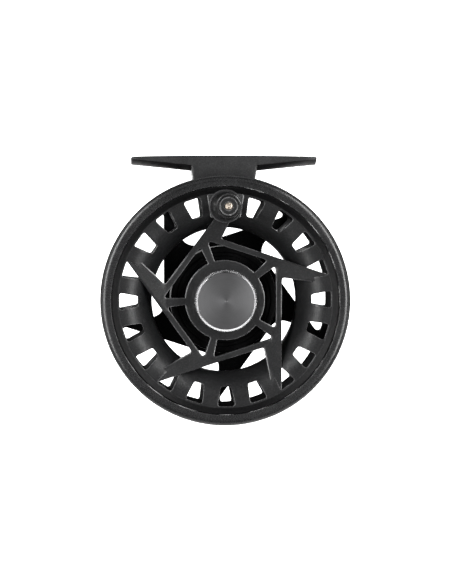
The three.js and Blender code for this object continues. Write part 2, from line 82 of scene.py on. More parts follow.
# The middle is a depth, and the seat is the radius where the channel's round bottom starts.
SPOOL = {"outer": 39.15, "lip": 0.25, "face": 1.5, "throat": 25.0, "middle": 14.0, "wall": 1.4, "seat": 36.0}
BEAD = 36.8  # the step up to the flange's lip
WINDOWS = {"count": 20, "inner": 29.8, "inner_half": 1.75, "outer": (36.4, 36.7), "outer_half": (3.07, 3.13),
           "corner": 0.75, "chamfer": 0.19}
ZONE = (28.2, 36.7)  # the band of a flange that the windows lie in
SIDE_STEPS = (12, 10, 12, 10)  # points along a window's outer, right, inner and left side
WEDGE = 360 / WINDOWS["count"]
PATTERN_TURN = -0.5
SPIDER = {"tangent": 19.38, "bar": 1.79, "hub": 13.8, "bore": 10.3, "face": 4.9, "thick": 3.4, "rise": 3.4,
          "rim": 36.55, "bevel": 0.3, "first_turn": 90}
ARM = {  # corners of one arm's outline, as (along, across) for arm_point
    "root": (16.35, 13.48), "inner_end": (36.0, 17.0),
    "spoke_near": (9.79, SPIDER["tangent"] - SPIDER["bar"]), "spoke_far": (13.04, 16.79),
    "hub_near": (6.69, 12.05), "hub_far": (8.75, 10.65),
}
HANDLE_RADIUS = 32.4
FOOT = {"half": 32.15, "width": 14.0, "rim": 1.9, "tip": 1.0, "root": 3.4, "droop": (0.15, 0.4),
        "root_x": 11.55, "flat": 1.5, "seam": 10.75}
CAP = {"rear": 4.5, "grow": 0.08, "ridges": 110, "groove": 0.22}
COVER = {"face": 12.5, "bead": 12.95, "beads": (9.6, 12.4, 15.0)}
KNOB = {"outer": 15.5, "front": 37.6, "lobes": 10, "scoop": 0.85}


# ---- Small geometry ----

def polar(radius, degrees):
    """A point at an angle clockwise from straight up, seen from the front."""
    a = math.radians(degrees)
    return Vector((radius * math.sin(a), radius * math.cos(a)))


def angle_of(point):
    return math.degrees(math.atan2(point[0], point[1]))


def arm_point(degrees, t, n):
    """t runs out along an arm and n across it, for an arm that points clockwise of +X by the angle."""
    a = math.radians(degrees)
    return Vector((t * math.cos(a) + n * math.sin(a), -t * math.sin(a) + n * math.cos(a)))


def turn_point(point, degrees):
    return arm_point(degrees, point.x, point.y)


def place(x, depth, z):
    """A point of the object, in metres, from millimetres about the spool's axis."""
    return Vector((AXIS_X + x, FRONT_Y + depth, AXIS_Z + z)) * MM


CORNER_REACH = 0.47  # the share of the shorter edge beside it that a rounded corner may take


def fillet(corners, radius, steps):
    """A closed outline with rounded corners. A corner is (x, y) or (x, y, its own radius)."""
    points = []
    for i, corner in enumerate(corners):
        here = Vector(corner[:2])
        back = Vector(corners[i - 1][:2]) - here
        ahead = Vector(corners[(i + 1) % len(corners)][:2]) - here
        size = corner[2] if len(corner) > 2 else radius
        if size <= 0 or back.length < 1e-6 or ahead.length < 1e-6:
            points.append(here)
            continue
        half = back.angle(ahead) / 2
        if half > math.radians(89):
            points.append(here)
            continue
        reach = min(size / math.tan(half), CORNER_REACH * min(back.length, ahead.length))
        true_size = reach * math.tan(half)
        bisector = (back.normalized() + ahead.normalized()).normalized()
        centre = here + bisector * (true_size / math.sin(half))
        start = here + back.normalized() * reach - centre
        sweep = start.angle_signed(here + ahead.normalized() * reach - centre)
        for k in range(steps + 1):
            a = -sweep * k / steps
            across = start.x * math.cos(a) - start.y * math.sin(a)
            points.append(centre + Vector((across, start.x * math.sin(a) + start.y * math.cos(a))))
    return points


def arc(radius, start, end, steps):
    return [polar(radius, start + (end - start) * k / steps) for k in range(steps + 1)]


def circle(radius, steps, start=0):
    return [polar(radius, start + 360 * k / steps) for k in range(steps)]


def ring_at(bm, points, depth, centre=(0, 0)):
    """A ring of vertices at one depth, from points about the spool's axis or a parallel one."""
    return [bm.verts.new(place(centre[0] + p.x, depth, centre[1] + p.y)) for p in points]


# ---- Mesh helpers ----

def finish_mesh(name, mesh, material, body, replaced=(), angle=32, others=()):
    """Puts a mesh in the scene as one piece of the object. Faces with index 1 and up take the other materials."""
    piece = bpy.data.objects.new(name, mesh)
    bpy.context.scene.collection.objects.link(piece)
    mesh.materials.append(material)
    for other in others:
        mesh.materials.append(other)
    for polygon in mesh.polygons:
        polygon.use_smooth = True
    mesh.set_sharp_from_angle(angle=math.radians(angle))
    if replaced:
        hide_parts(*replaced)
    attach(piece, body)
    return piece


def mesh_from(bm, name, merge=2e-6):
    bmesh.ops.remove_doubles(bm, verts=bm.verts, dist=merge)
    bmesh.ops.recalc_face_normals(bm, faces=bm.faces)
    mesh = bpy.data.meshes.new(name)
    bm.to_mesh(mesh)
    bm.free()
    return mesh


def loft(bm, rings, closed=False):
    """Joins each ring of vertices to the next, and the last one to the first if closed."""
    for a, b in zip(rings, rings[1:] + rings[:1] if closed else rings[1:]):
        for k in range(len(a)):
            n = (k + 1) % len(a)
            bm.faces.new((a[k], a[n], b[n], b[k]))


def lathe(name, profile, segments=192, centre=(0, 0)):
    """Turns a closed outline of (radius, depth) about the spool's axis, or about a parallel one."""
    bm = bmesh.new()
    rings = []
    for radius, depth in profile:
        if radius < 1e-4:
            rings.append([bm.verts.new(place(centre[0], depth, centre[1]))])
        else:
            rings.append(ring_at(bm, circle(radius, segments), depth, centre))
    for a, b in zip(rings, rings[1:] + rings[:1]):
        if len(a) == 1 and len(b) == 1:
            continue
        for k in range(segments):
            n = (k + 1) % segments
            if len(a) == 1:
                bm.faces.new((a[0], b[n], b[k]))
            elif len(b) == 1:
                bm.faces.new((a[k], a[n], b[0]))
            else:
                bm.faces.new((a[k], a[n], b[n], b[k]))
    return mesh_from(bm, name)


def plate(name, outlines, front, rear, bevel, rounds=1):
    """A flat plate with holes: the first outline is its edge, the others are holes. Its edges are bevelled."""
    curve = bpy.data.curves.new(name, "CURVE")
    curve.dimensions = "2D"
    curve.fill_mode = "BOTH"
    curve.extrude = (rear - front) / 2 - bevel
    curve.bevel_depth = bevel
    curve.bevel_resolution = rounds
    curve.offset = -bevel
    for outline in outlines:
        spline = curve.splines.new("POLY")
        spline.points.add(len(outline) - 1)
        for point, (x, z) in zip(spline.points, outline):
            point.co = (x, z, 0, 1)
        spline.use_cyclic_u = True
    thing = bpy.data.objects.new(name, curve)
    bpy.context.scene.collection.objects.link(thing)
    bpy.context.view_layer.update()
    flat = bpy.data.meshes.new_from_object(thing.evaluated_get(bpy.context.evaluated_depsgraph_get()))
    bpy.data.objects.remove(thing)
    bpy.data.curves.remove(curve)
    bm = bmesh.new()
    bm.from_mesh(flat)
    bpy.data.meshes.remove(flat)
    bmesh.ops.remove_doubles(bm, verts=bm.verts, dist=2e-4)
    middle = (front + rear) / 2
    for v in bm.verts:
        v.co = Vector((v.co.x, middle - v.co.z, v.co.y))
    return bm


def mark_where(mesh, index, test):
    """Gives another material to the faces that a test on a face's radius from the axis and its normal accepts."""
    for polygon in mesh.polygons:
        centre = polygon.center / MM
        if polygon.material_index == 0 and test(math.hypot(centre.x - AXIS_X, centre.z - AXIS_Z), polygon.normal):
            polygon.material_index = index
    return mesh


def is_chamfer(normal, low=0.2, high=0.97):
    """Whether a face slopes, so that it faces neither along the axis nor across it."""
    return low < abs(normal.y) < high


def grid_cut(bm, reach, step):
    """Cuts a plate's faces along a square grid, so that the plate can take a curved shape."""
    count = int(reach / step)
    for axis in (Vector((1, 0, 0)), Vector((0, 0, 1))):
        for k in range(-count, count + 1):
            geometry = bm.verts[:] + bm.edges[:] + bm.faces[:]
            bmesh.ops.bisect_plane(bm, geom=geometry, plane_co=axis * (k * step + 0.013), plane_no=axis, dist=1e-5)


def mark_edges(bm):
    """Marks the chamfers of a plate for the edge material, which carries a painted highlight."""
    bm.normal_update()
    for face in bm.faces:
        if is_chamfer(face.normal, 0.3, 0.93):
            face.material_index = 1


def to_place(bm):
    """Takes a plate from (x, depth, z) in millimetres to its place in metres."""
    for v in bm.verts:
        v.co = place(*v.co)


def join(name, parts):
    bm = bmesh.new()
    for part in parts:
        bm.from_mesh(part)
        bpy.data.meshes.remove(part)
    mesh = bpy.data.meshes.new(name)
    bm.to_mesh(mesh)
    bm.free()
    return mesh


# ---- Materials ----

MIX_FIRST, MIX_SECOND, MIX_RESULT = 6, 7, 2  # the Mix node's colour sockets


class Shader:
    """A node material that is written from its sockets back."""

    def __init__(self, name):
        self.material = bpy.data.materials.new(name)
        self.material.use_nodes = True
        self.tree = self.material.node_tree
        self.bsdf = self.tree.nodes["Principled BSDF"]
        self.coordinates = self.tree.nodes.new("ShaderNodeTexCoord").outputs["Object"]

    def node(self, kind, links=(), **settings):
        made = self.tree.nodes.new(kind)
        for key, value in settings.items():
            if key in made.inputs:
                made.inputs[key].default_value = value
            else:
                setattr(made, key, value)
        for socket, source in dict(links).items():
            self.tree.links.new(source, made.inputs[socket])
        return made

    def noise(self, scale, detail=3.0, roughness=0.55, vector=None):
        made = self.node("ShaderNodeTexNoise", {"Vector": vector or self.coordinates})
        made.inputs["Scale"].default_value = scale
        made.inputs["Detail"].default_value = detail
        made.inputs["Roughness"].default_value = roughness
        return made.outputs["Fac"]

    def spread(self, source, low, high, start=0.3, end=0.7):
        made = self.node("ShaderNodeMapRange", {"Value": source})
        for key, value in (("From Min", start), ("From Max", end), ("To Min", low), ("To Max", high)):
            made.inputs[key].default_value = value
        return made.outputs["Result"]

    def mix(self, factor, first, second):
        made = self.node("ShaderNodeMix", {"Factor": factor}, data_type="RGBA")
        for socket, value in ((made.inputs[MIX_FIRST], first), (made.inputs[MIX_SECOND], second)):
            if hasattr(value, "links"):
                self.tree.links.new(value, socket)
            else:
                socket.default_value = (*value, 1)
        return made.outputs[MIX_RESULT]

    def math(self, operation, first, second=0.0):
        made = self.node("ShaderNodeMath", operation=operation)
        for socket, value in zip(made.inputs, (first, second)):
            if hasattr(value, "links"):
                self.tree.links.new(value, socket)
            else:
                socket.default_value = value
        return made.outputs[0]

    def bump(self, height, strength, distance):
        made = self.node("ShaderNodeBump", {"Height": height})
        made.inputs["Strength"].default_value = strength
        made.inputs["Distance"].default_value = distance
        self.tree.links.new(made.outputs["Normal"], self.bsdf.inputs["Normal"])

    def set(self, **values):
        for key, value in values.items():
            socket = self.bsdf.inputs[key.replace("_", " ")]
            if hasattr(value, "links"):
                self.tree.links.new(value, socket)
            else:
                socket.default_value = (*value, 1) if isinstance(value, tuple) else value
        return self


def coated_metal(name, dark, light, rough, specular=0.5, grain=1.0):
    """A satin black coating over cast metal: a fine powdery grain, a cloudy sheen and pale specks."""
    s = Shader(name)
    cloud = s.noise(90, 4)
    fine = s.noise(2600, 2, 0.6)
    base = s.mix(s.spread(cloud, 0, 1), dark, light)
    speck = s.noise(2400, 3, 0.7)
    worn = s.mix(s.spread(speck, 0, 0.8, 0.46, 0.72), base, tuple(3.0 * c for c in light))
    rough_map = s.math("ADD", s.spread(cloud, rough - 0.05, rough + 0.05), s.spread(fine, -0.06, 0.06))
    s.set(Base_Color=worn, Roughness=rough_map, Specular_IOR_Level=specular)
    s.bump(s.math("ADD", fine, s.math("MULTIPLY", speck, 0.8)), 0.3 * grain, 0.0001)
    return s.material


def turned_metal(name, dark, light, rough, ring_scale, strength):
    """Metal turned on a lathe: fine rings about the axis, in both tone and roughness."""
    s = Shader(name)
    parts = s.node("ShaderNodeSeparateXYZ", {"Vector": s.coordinates})
    x, z = parts.outputs["X"], s.math("SUBTRACT", parts.outputs["Z"], AXIS_Z * MM)
    radius = s.math("SQRT", s.math("ADD", s.math("MULTIPLY", x, x), s.math("MULTIPLY", z, z)))
    spot = s.node("ShaderNodeCombineXYZ", {"X": radius})
    rings = s.noise(ring_scale, 3, 0.7, spot.outputs["Vector"])
    cloud = s.noise(160, 3)
    base = s.mix(s.spread(rings, 0, 1), dark, light)
    rough_map = s.math("ADD", s.spread(rings, rough - 0.06, rough + 0.06), s.spread(cloud, -0.03, 0.03))
    along = s.node("ShaderNodeTangent", direction_type="RADIAL", axis="Y").outputs["Tangent"]
    s.set(Base_Color=base, Roughness=rough_map, Metallic=1.0, Anisotropic=0.35, Anisotropic_Rotation=0.25,
          Tangent=along)
    s.bump(rings, strength, 0.00004)
    return s.material


def plain_metal(name, color, rough):
    s = Shader(name)
    cloud = s.noise(300, 4)
    fine = s.noise(3000, 2)
    base = s.mix(s.spread(cloud, 0, 1), tuple(0.8 * c for c in color), color)
    s.set(Base_Color=base, Roughness=s.spread(fine, rough - 0.06, rough + 0.08), Metallic=1.0)
    s.bump(fine, 0.15, 0.00003)
    return s.material


def moulded(name, color, rough, grain, specular=0.5):
    s = Shader(name)
    cloud = s.noise(200, 3)
    fine = s.noise(grain, 3, 0.6)
    base = s.mix(s.spread(cloud, 0, 1), tuple(0.75 * c for c in color), tuple(1.15 * c for c in color))
    s.set(Base_Color=base, Roughness=s.spread(fine, rough - 0.06, rough + 0.08), Specular_IOR_Level=specular)
    s.bump(fine, 0.25, 0.00005)
    return s.material


def speckled_brass(name):
    """A small plated screw, speckled where the plating is thin."""
    s = Shader(name)
    spots = s.noise(3000, 4, 0.8)
    base = s.mix(s.spread(spots, 0, 1, 0.42, 0.6), (0.2, 0.15, 0.11), (0.8, 0.73, 0.64))
    s.set(Base_Color=base, Roughness=s.spread(spots, 0.3, 0.5), Metallic=1.0)
    s.bump(spots, 0.5, 0.00008)
    return s.material


# Coated metals and mouldings: colours, roughness, specular level and strength of the grain.
CASTING = coated_metal("casting_satin_black", (0.006, 0.0061, 0.0064), (0.011, 0.0111, 0.0115), 0.42, 0.5, 1.5)
SPOOL_COAT = coated_metal("spool_satin_black", (0.006, 0.0061, 0.0064), (0.010, 0.0101, 0.0105), 0.36, 0.32, 1.5)
# Painted shade: the spool's recessed lip band between the ring and the windows is coloured darker than the rest of the
# coating, standing in for the shade that falls there.
LIP_SHADE_COAT = coated_metal("spool_lip_painted_shade", (0.0021, 0.0021, 0.0022), (0.0032, 0.0032, 0.0034), 0.36, 0.1)
RING_COAT = coated_metal("ring_satin_black", (0.006, 0.0061, 0.0064), (0.010, 0.0101, 0.0105), 0.27, 0.5, 0.4)
# Painted shade: a near-black colour for faces deep inside the frame and under the foot stands in for the shade there.
DEEP_SHADE_COAT = coated_metal("inside_painted_shade", (0.002, 0.002, 0.0021), (0.003, 0.003, 0.0032), 0.4, 0.05)
FOOT_COAT = coated_metal("foot_satin_black", (0.007, 0.0071, 0.0074), (0.013, 0.0131, 0.0135), 0.38, 0.46, 1.3)
# Painted highlight: the chamfers take a lighter colour than the flats, so the edges show bright lines whatever the
# lamps do. The lower roughness is the coating's own.
EDGE_HIGHLIGHT_COAT = coated_metal("edge_painted_highlight", (0.018, 0.0181, 0.0185), (0.03, 0.0301, 0.031), 0.28, 0.75)
# Painted shade: a near-black colour for the drag cover and cup deep inside the reel and for the windows' inner walls
# stands in for the shade there.
COVER_SHADE_COAT = coated_metal("cover_painted_shade", (0.001, 0.001, 0.0011), (0.002, 0.002, 0.0021), 0.45, 0.06)
KNOB_COAT = moulded("handle_moulding", (0.007, 0.007, 0.0073), 0.3, 1900, 0.3)
CORE_COAT = moulded("handle_core_coat", (0.012, 0.012, 0.0123), 0.4, 2600, 0.3)
# Painted highlight: a pale colour on the handle post's chamfer stands in for the bright line of light along its edge.
POST_EDGE_HIGHLIGHT = coated_metal("post_edge_painted_highlight", (0.07, 0.07, 0.071), (0.14, 0.14, 0.142), 0.25, 0.8)
GRIP_COAT = moulded("drag_knob_moulding", (0.008, 0.008, 0.0083), 0.45, 1500)
CAP_FACE = turned_metal("cap_turned_face", (0.13, 0.13, 0.133), (0.17, 0.17, 0.173), 0.42, 5200, 0.25)
CAP_RIM = turned_metal("cap_polished_rim", (0.62, 0.62, 0.63), (0.74, 0.74, 0.75), 0.22, 4000, 0.06)
SLOT_LOOKS = {
    "casting": CASTING,
    "silver": CAP_RIM,
    "steel": plain_metal("bright_steel", (0.56, 0.56, 0.57), 0.3),
    "brass": speckled_brass("plated_brass"),
    "moulded": KNOB_COAT,
    "rubber": moulded("seal_rubber", (0.012, 0.012, 0.012), 0.7, 1200),
    "carbon": moulded("friction_carbon", (0.02, 0.021, 0.023), 0.55, 2600),
}

for entry in frame["record"]["subparts"]:
    node = frame["nodes"].get(entry["node"])
    if node is not None and node.type == "MESH":
        for material_slot in node.material_slots:
            material_slot.material = SLOT_LOOKS[entry["material_slot"]]


# ---- Frame ----

def frame_ring_mesh():
    """The front ring, with a small chamfer at its bore and a wide round at its outer edge."""
    bore, chamfer, depth, size = (FRAME[key] for key in ("bore", "bore_chamfer", "ring_depth", "ring_round"))
    steps = 10
    turns = [math.radians(FRAME["ring_sweep"] * k / steps) for k in range(steps + 1)]
    flat = RING_RADIUS - size * math.sin(turns[-1])
    rounded = [(flat + size * math.sin(a), size - size * math.cos(a), 0) for a in turns]
    corners = [(bore, chamfer, 0.05), (bore + chamfer, 0.0, 0.08), *rounded, (RING_RADIUS, depth, 0.5),
               (bore, depth, 0)]
    return lathe("ring", fillet(corners, 0.1, 10), 256)


def back_opening(turn):
    """One of the back's openings, between two of its arms and its rim."""
    tangent, start, bend, end = (OPENING[key] for key in ("tangent", "start", "bend", "end"))
    bore, corner = FRAME["back_bore"], OPENING["corner"]
    root = arm_point(turn, start, tangent)
    tip = arm_point(turn, math.sqrt(bore ** 2 - tangent ** 2), tangent)
    far = arm_point(turn, end, math.sqrt(bore ** 2 - end ** 2))
    knee = arm_point(turn, start - bend * math.tan(math.radians(OPENING["lean"])), tangent + bend)
    first = angle_of(tip)
    sweep = (first - angle_of(far)) % 360
    rim = [(*p, 0) for p in arc(bore, first - 9, first + 9 - sweep, 20)]
    soft = OPENING["root"]
    return fillet([(*root, soft), (*tip, corner), *rim, (*far, corner), (*knee, soft)], corner, 7)


def frame_back_mesh():
    front, rear = FRAME["back"]
    holes = [back_opening(OPENING["turn"] + FOLD_TURN * k) for k in range(FOLD)]
    bm = plate("back", [circle(FRAME["back_outer"], 256), *holes], front, rear, 0.45, 2)
    to_place(bm)
    # The back's faces that face forwards, inside the cage, take the painted shade.
    return mark_where(mesh_from(bm, "back"), 2, lambda radius, normal: normal.y < -0.6)


def pillar_mesh(centre, half):
    outer = arc(PILLARS["outer"], centre - half, centre + half, 14)
    inner = arc(PILLARS["inner"], centre + half, centre - half, 14)
    outline = [(*outer[0], 0.6), *[(*p, 0) for p in outer[1:-1]], (*outer[-1], 0.6),
               (*inner[0], 0.4), *[(*p, 0) for p in inner[1:-1]], (*inner[-1], 0.4)]
    bm = plate("pillar", [fillet(outline, 0.3, 4)], FRAME["ring_depth"] - 0.6, FRAME["back"][0] + 0.6, 0.02, 0)
    to_place(bm)
    return mesh_from(bm, "pillar")


def build_frame():
    pillars = [pillar_mesh(0, PILLARS["top_half"])] + [pillar_mesh(a, PILLARS["half"]) for a in PILLARS["angles"]]
    # The bore's chamfer takes the painted highlight.
    ring = mark_where(frame_ring_mesh(), 1, lambda radius, normal: is_chamfer(normal) and radius < FRAME["bore"] + 0.3)
    mesh = join("frame_casting", [ring, frame_back_mesh(), *pillars])
    nodes = ["frame_ring", "frame_back"] + [f"frame_pillar_{k}" for k in range(1, 5)]
    # Index 1 carries the painted highlight on the bore's chamfer, and index 2 the painted shade on the back.
    finish_mesh("frame_casting", mesh, RING_COAT, "frame", nodes, others=[EDGE_HIGHLIGHT_COAT, DEEP_SHADE_COAT])


# ---- Foot ----

def foot_section(x, half_width, top_share):
    """A ring of (x, y, z) round the foot at x, dished on the rod side and following that dish below. The last value
    is a share of the full thickness."""
    share = min(1, (FOOT["half"] - abs(x)) / (FOOT["half"] - FOOT["root_x"]))
    thick = (FOOT["tip"] + (FOOT["root"] - FOOT["tip"]) * share) * top_share
    count = 28

    def rise(y):
        return FOOT["rim"] * (max(0, abs(y) - FOOT["flat"]) / (FOOT["width"] / 2 - FOOT["flat"])) ** 1.6

    across = [half_width * (2 * k / count - 1) for k in range(count + 1)]
    edge = 0.02 if abs(x) <= FOOT["root_x"] else min(0.3, thick * 0.4)
    top = [(y, rise(y)) for y in across]
    under = [(y, rise(y) - thick) for y in reversed(across)]
    outline = [(*top[0], 0.25)] + [(*p, 0) for p in top[1:-1]] + [(*top[-1], 0.25), (*under[0], edge)]
    outline += [(*p, 0) for p in under[1:-1]] + [(*under[-1], edge)]
    droop = FOOT["droop"][0] + FOOT["droop"][1] * (x / FOOT["half"]) ** 2
    return [(x, p.x, p.y - droop) for p in fillet(outline, 0, 3)]


def build_foot():
    width = FOOT["width"] / 2
    tip = FOOT["half"]
    ends = [(tip, width - 0.75, 0.8), (tip - 0.1, width - 0.5, 0.92), (tip - 0.35, width - 0.2, 1.0),
            (tip - 0.75, width, 1.0)]
    inner = [(x, width, 1.0) for x in (28, 24, 20, 16, 13, FOOT["root_x"], 6, 0)]
    right = ends + inner
    stations = [(-x, w, s) for x, w, s in right[:-1]] + list(reversed(right))
    bm = bmesh.new()
    rings = []
    for x, w, s in stations:
        rings.append([bm.verts.new(Vector(p) * MM) for p in foot_section(x, w, s)])
    loft(bm, rings)
    bm.faces.new(rings[0])
    bm.faces.new(rings[-1])
    # The wings' underside takes the painted shade.
    wings = mark_where(mesh_from(bm, "wings"), 1, lambda radius, normal: normal.z < -0.6)

    # The pedestal: a block with its ends leaning in towards the frame, flared where it meets the wings.
    low_z = (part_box("frame_pillar_1")[1][2]) / MM - 1.4
    top_z = -0.6
    deep = width + 0.01
    flare_start = 0.72
    bm = bmesh.new()
    rings = []
    levels = 14
    for k in range(levels + 1):
        share = k / levels
        z = low_z + (top_z - low_z) * share
        half = FOOT["seam"] + (FOOT["root_x"] - FOOT["seam"]) * share
        half += 0.7 * max(0, (share - flare_start) / (1 - flare_start)) ** 2
        corners = [(-half, -deep), (half, -deep), (half, deep), (-half, deep)]
        rings.append([bm.verts.new(Vector((p.x, p.y, z)) * MM) for p in fillet(corners, 0.55, 5)])
    loft(bm, rings)
    bm.faces.new(rings[0])
    bm.faces.new(rings[-1])
    pedestal = mesh_from(bm, "pedestal")
    foot = join("reel_foot_casting", [wings, pedestal])
    finish_mesh("reel_foot_casting", foot, FOOT_COAT, "frame", ["reel_foot"], others=[DEEP_SHADE_COAT])


# ---- Spool ----

def channel_depth(radius, wall, rear):
    """The depth of the spool's channel, at a distance inside the surface that shows from the front."""
    bend = SPOOL["seat"] - SPOOL["throat"] - wall
    share = min(1, max(0, (SPOOL["seat"] - radius) / bend))
    drop = (SPOOL["middle"] - SPOOL["face"] - wall) * math.sqrt(1 - share ** 2)
    return SPOOL["middle"] + drop if rear else SPOOL["middle"] - drop


def inside_depth(radius, rear=False):
    """The depth of the surface that shows from the front."""
    return channel_depth(radius, 0, rear)


def line_side_depth(radius, rear=False):
    """The depth of the surface that the line lies on."""
    return channel_depth(radius, SPOOL["wall"], rear)


def window_loop(side, grow=0.0):
    """A window's outline, as one list of points for each of its four sides, starting at its outer left corner."""
    outer, half = WINDOWS["outer"][side] + grow, WINDOWS["outer_half"][side] + grow
    inner, inner_half = WINDOWS["inner"] - grow, WINDOWS["inner_half"] + grow * 0.9
    radius = WINDOWS["corner"] + 0.6 * grow
    corners = [(-half, outer), (half, outer), (inner_half, inner), (-inner_half, inner)]
    round_steps = 8
    points = fillet(corners, radius, round_steps)
    size = round_steps + 1
    loops = []
    for k in range(4):
        first = points[k * size + size // 2:(k + 1) * size]
        after = ((k + 1) % 4) * size
        second = points[after:after + size // 2 + 1]
        loops.append(resample(first + second, SIDE_STEPS[k]))
    return loops


def resample(path, steps):
    """The same path with its points evenly spaced."""
    lengths = [0.0]
    for a, b in zip(path, path[1:]):
        lengths.append(lengths[-1] + (b - a).length)
    made = []
    for k in range(steps + 1):
        target = lengths[-1] * k / steps
        i = max(j for j in range(len(path) - 1) if lengths[j] <= target + 1e-9)
        span = lengths[i + 1] - lengths[i]
        made.append(path[i].lerp(path[i + 1], (target - lengths[i]) / span if span else 0))
    return made


def zone_loop():
    """The wedge of flange round one window, in the same order as window_loop."""
    low, high = ZONE
    half = WEDGE / 2
    outer = arc(high, -half, half, SIDE_STEPS[0])
    right = [polar(high + (low - high) * k / SIDE_STEPS[1], half) for k in range(SIDE_STEPS[1] + 1)]
    inner = arc(low, half, -half, SIDE_STEPS[2])
    left = [polar(low + (high - low) * k / SIDE_STEPS[3], -half) for k in range(SIDE_STEPS[3] + 1)]
    return [outer, right, inner, left]


def flatten(loops):
    return [p for loop in loops for p in loop[:-1]]


def add_flange(bm, rear, pattern_turn):
    """A flange's windowed band: both its surfaces, and the chamfered walls of its windows."""
    side = 1 if rear else 0
    sign = -1 if rear else 1
    chamfer = WINDOWS["chamfer"]
    zone = flatten(zone_loop())
    grown = flatten(window_loop(side, chamfer))
    edge = flatten(window_loop(side))

    def near(p):
        return inside_depth(p.length, rear)

    def far(p):
        return line_side_depth(p.length, rear)

    between = [[z.lerp(g, share) for z, g in zip(zone, grown)] for share in (0, 0.25, 0.5, 0.75, 1)]
    for k in range(WINDOWS["count"]):
        turn = WEDGE * k + pattern_turn
        if k == 0 and not rear:
            add_blank(bm, rear, turn)
            continue
        layers = [[(turn_point(p, turn), near(p)) for p in loop] for loop in between]
        for a in (30, 60, 90):
            share, sunk = 1 - math.sin(math.radians(a)), 1 - math.cos(math.radians(a))
            layers.append([(turn_point(e.lerp(g, share), turn), near(e) + sign * chamfer * sunk)
                           for e, g in zip(edge, grown)])
        layers.append([(turn_point(p, turn), far(p) - sign * chamfer * 0.6) for p in edge])
        layers += [[(turn_point(p, turn), far(p)) for p in loop] for loop in reversed(between)]
        rows = [[bm.verts.new(place(p.x, depth, p.y)) for p, depth in layer] for layer in layers]
        for row, (a, b) in enumerate(zip(rows, rows[1:])):
            for i in range(len(a)):
                n = (i + 1) % len(a)
                face = bm.faces.new((a[i], a[n], b[n], b[i]))
                step = row - len(between) + 1
                # The windows' chamfers take the painted highlight, and the wall behind them takes the painted shade.
                face.material_index = 1 if 0 <= step < 3 else 2 if step == 3 else 0


def add_blank(bm, rear, turn):
    """The wedge under the handle's boss, which has no window."""
    low, high = ZONE
    rows = SIDE_STEPS[1]
    for surface in (inside_depth, line_side_depth):
        grid = []
        for i in range(rows + 1):
            radius = high + (low - high) * i / rows
            points = [turn_point(p, turn) for p in arc(radius, -WEDGE / 2, WEDGE / 2, SIDE_STEPS[0])]
            grid.append(ring_at(bm, points, surface(radius, rear)))
        for a, b in zip(grid, grid[1:]):
            for i in range(SIDE_STEPS[0]):
                bm.faces.new((a[i], a[i + 1], b[i + 1], b[i]))


def add_band(bm, points, turn):
    """An open strip turned about the axis, with the same divisions as the windowed bands."""
    segments = WINDOWS["count"] * SIDE_STEPS[0]
    loft(bm, [ring_at(bm, circle(radius, segments, turn + WEDGE / 2), depth) for radius, depth in points])


def throat_band(surface):
    """The round bottom of the channel, from one flange's windowed band to the other's."""
    low, steps = ZONE[0], 30
    inner = SPOOL["throat"] if surface is inside_depth else SPOOL["throat"] + SPOOL["wall"]
    bend = SPOOL["seat"] - inner
    last = math.acos((SPOOL["seat"] - low) / bend)
    points = []
    for k in range(steps + 1):
        a = -last + 2 * last * k / steps
        radius = SPOOL["seat"] - bend * math.cos(a)
        points.append((radius, surface(radius, rear=a > 0)))
    points[0], points[-1] = (low, surface(low)), (low, surface(low, rear=True))
    return points


def rim_band(rear):
    """From the inner surface round a flange's edge to the line side."""
    outer, face, wall = SPOOL["outer"], SPOOL["face"], SPOOL["wall"]
    high = ZONE[1]
    if rear:
        far = 2 * SPOOL["middle"]
        corners = [(high, far - face), (outer, far - face, 0.3), (outer, far - face - wall, 0.3),
                   (high, far - face - wall)]
        return [(p.x, p.y) for p in fillet(corners, 0, 4)]
    corners = [
        (high, face), (BEAD - 0.22, face, 0.1), (BEAD - 0.05, face - 0.2, 0.12), (BEAD + 0.2, face - 0.2, 0.1),
        (outer - 0.45, SPOOL["lip"], 0.2), (outer, SPOOL["lip"], 0.18), (outer, face + wall, 0.3), (high, face + wall),
    ]
    return [(p.x, p.y) for p in fillet(corners, 0, 4)]


def spool_shell():
    bm = bmesh.new()
    for rear in (False, True):
        add_flange(bm, rear, PATTERN_TURN)
        add_band(bm, rim_band(rear), PATTERN_TURN)
    add_band(bm, throat_band(inside_depth), PATTERN_TURN)
    add_band(bm, throat_band(line_side_depth), PATTERN_TURN)
    shell = mesh_from(bm, "shell", 4e-6)
    # The lip band's front-facing faces take the painted shade.
    return mark_where(shell, 3, lambda radius, normal: radius > BEAD + 0.3 and normal.y < -0.3)


def on_circle(start, end, radius):
    """Where the line through two points reaches a circle about the axis, going from start to end."""
    step = (end - start).normalized()
    along = start.dot(step)
    return start + step * (math.sqrt(along ** 2 - start.length_squared + radius ** 2) - along)


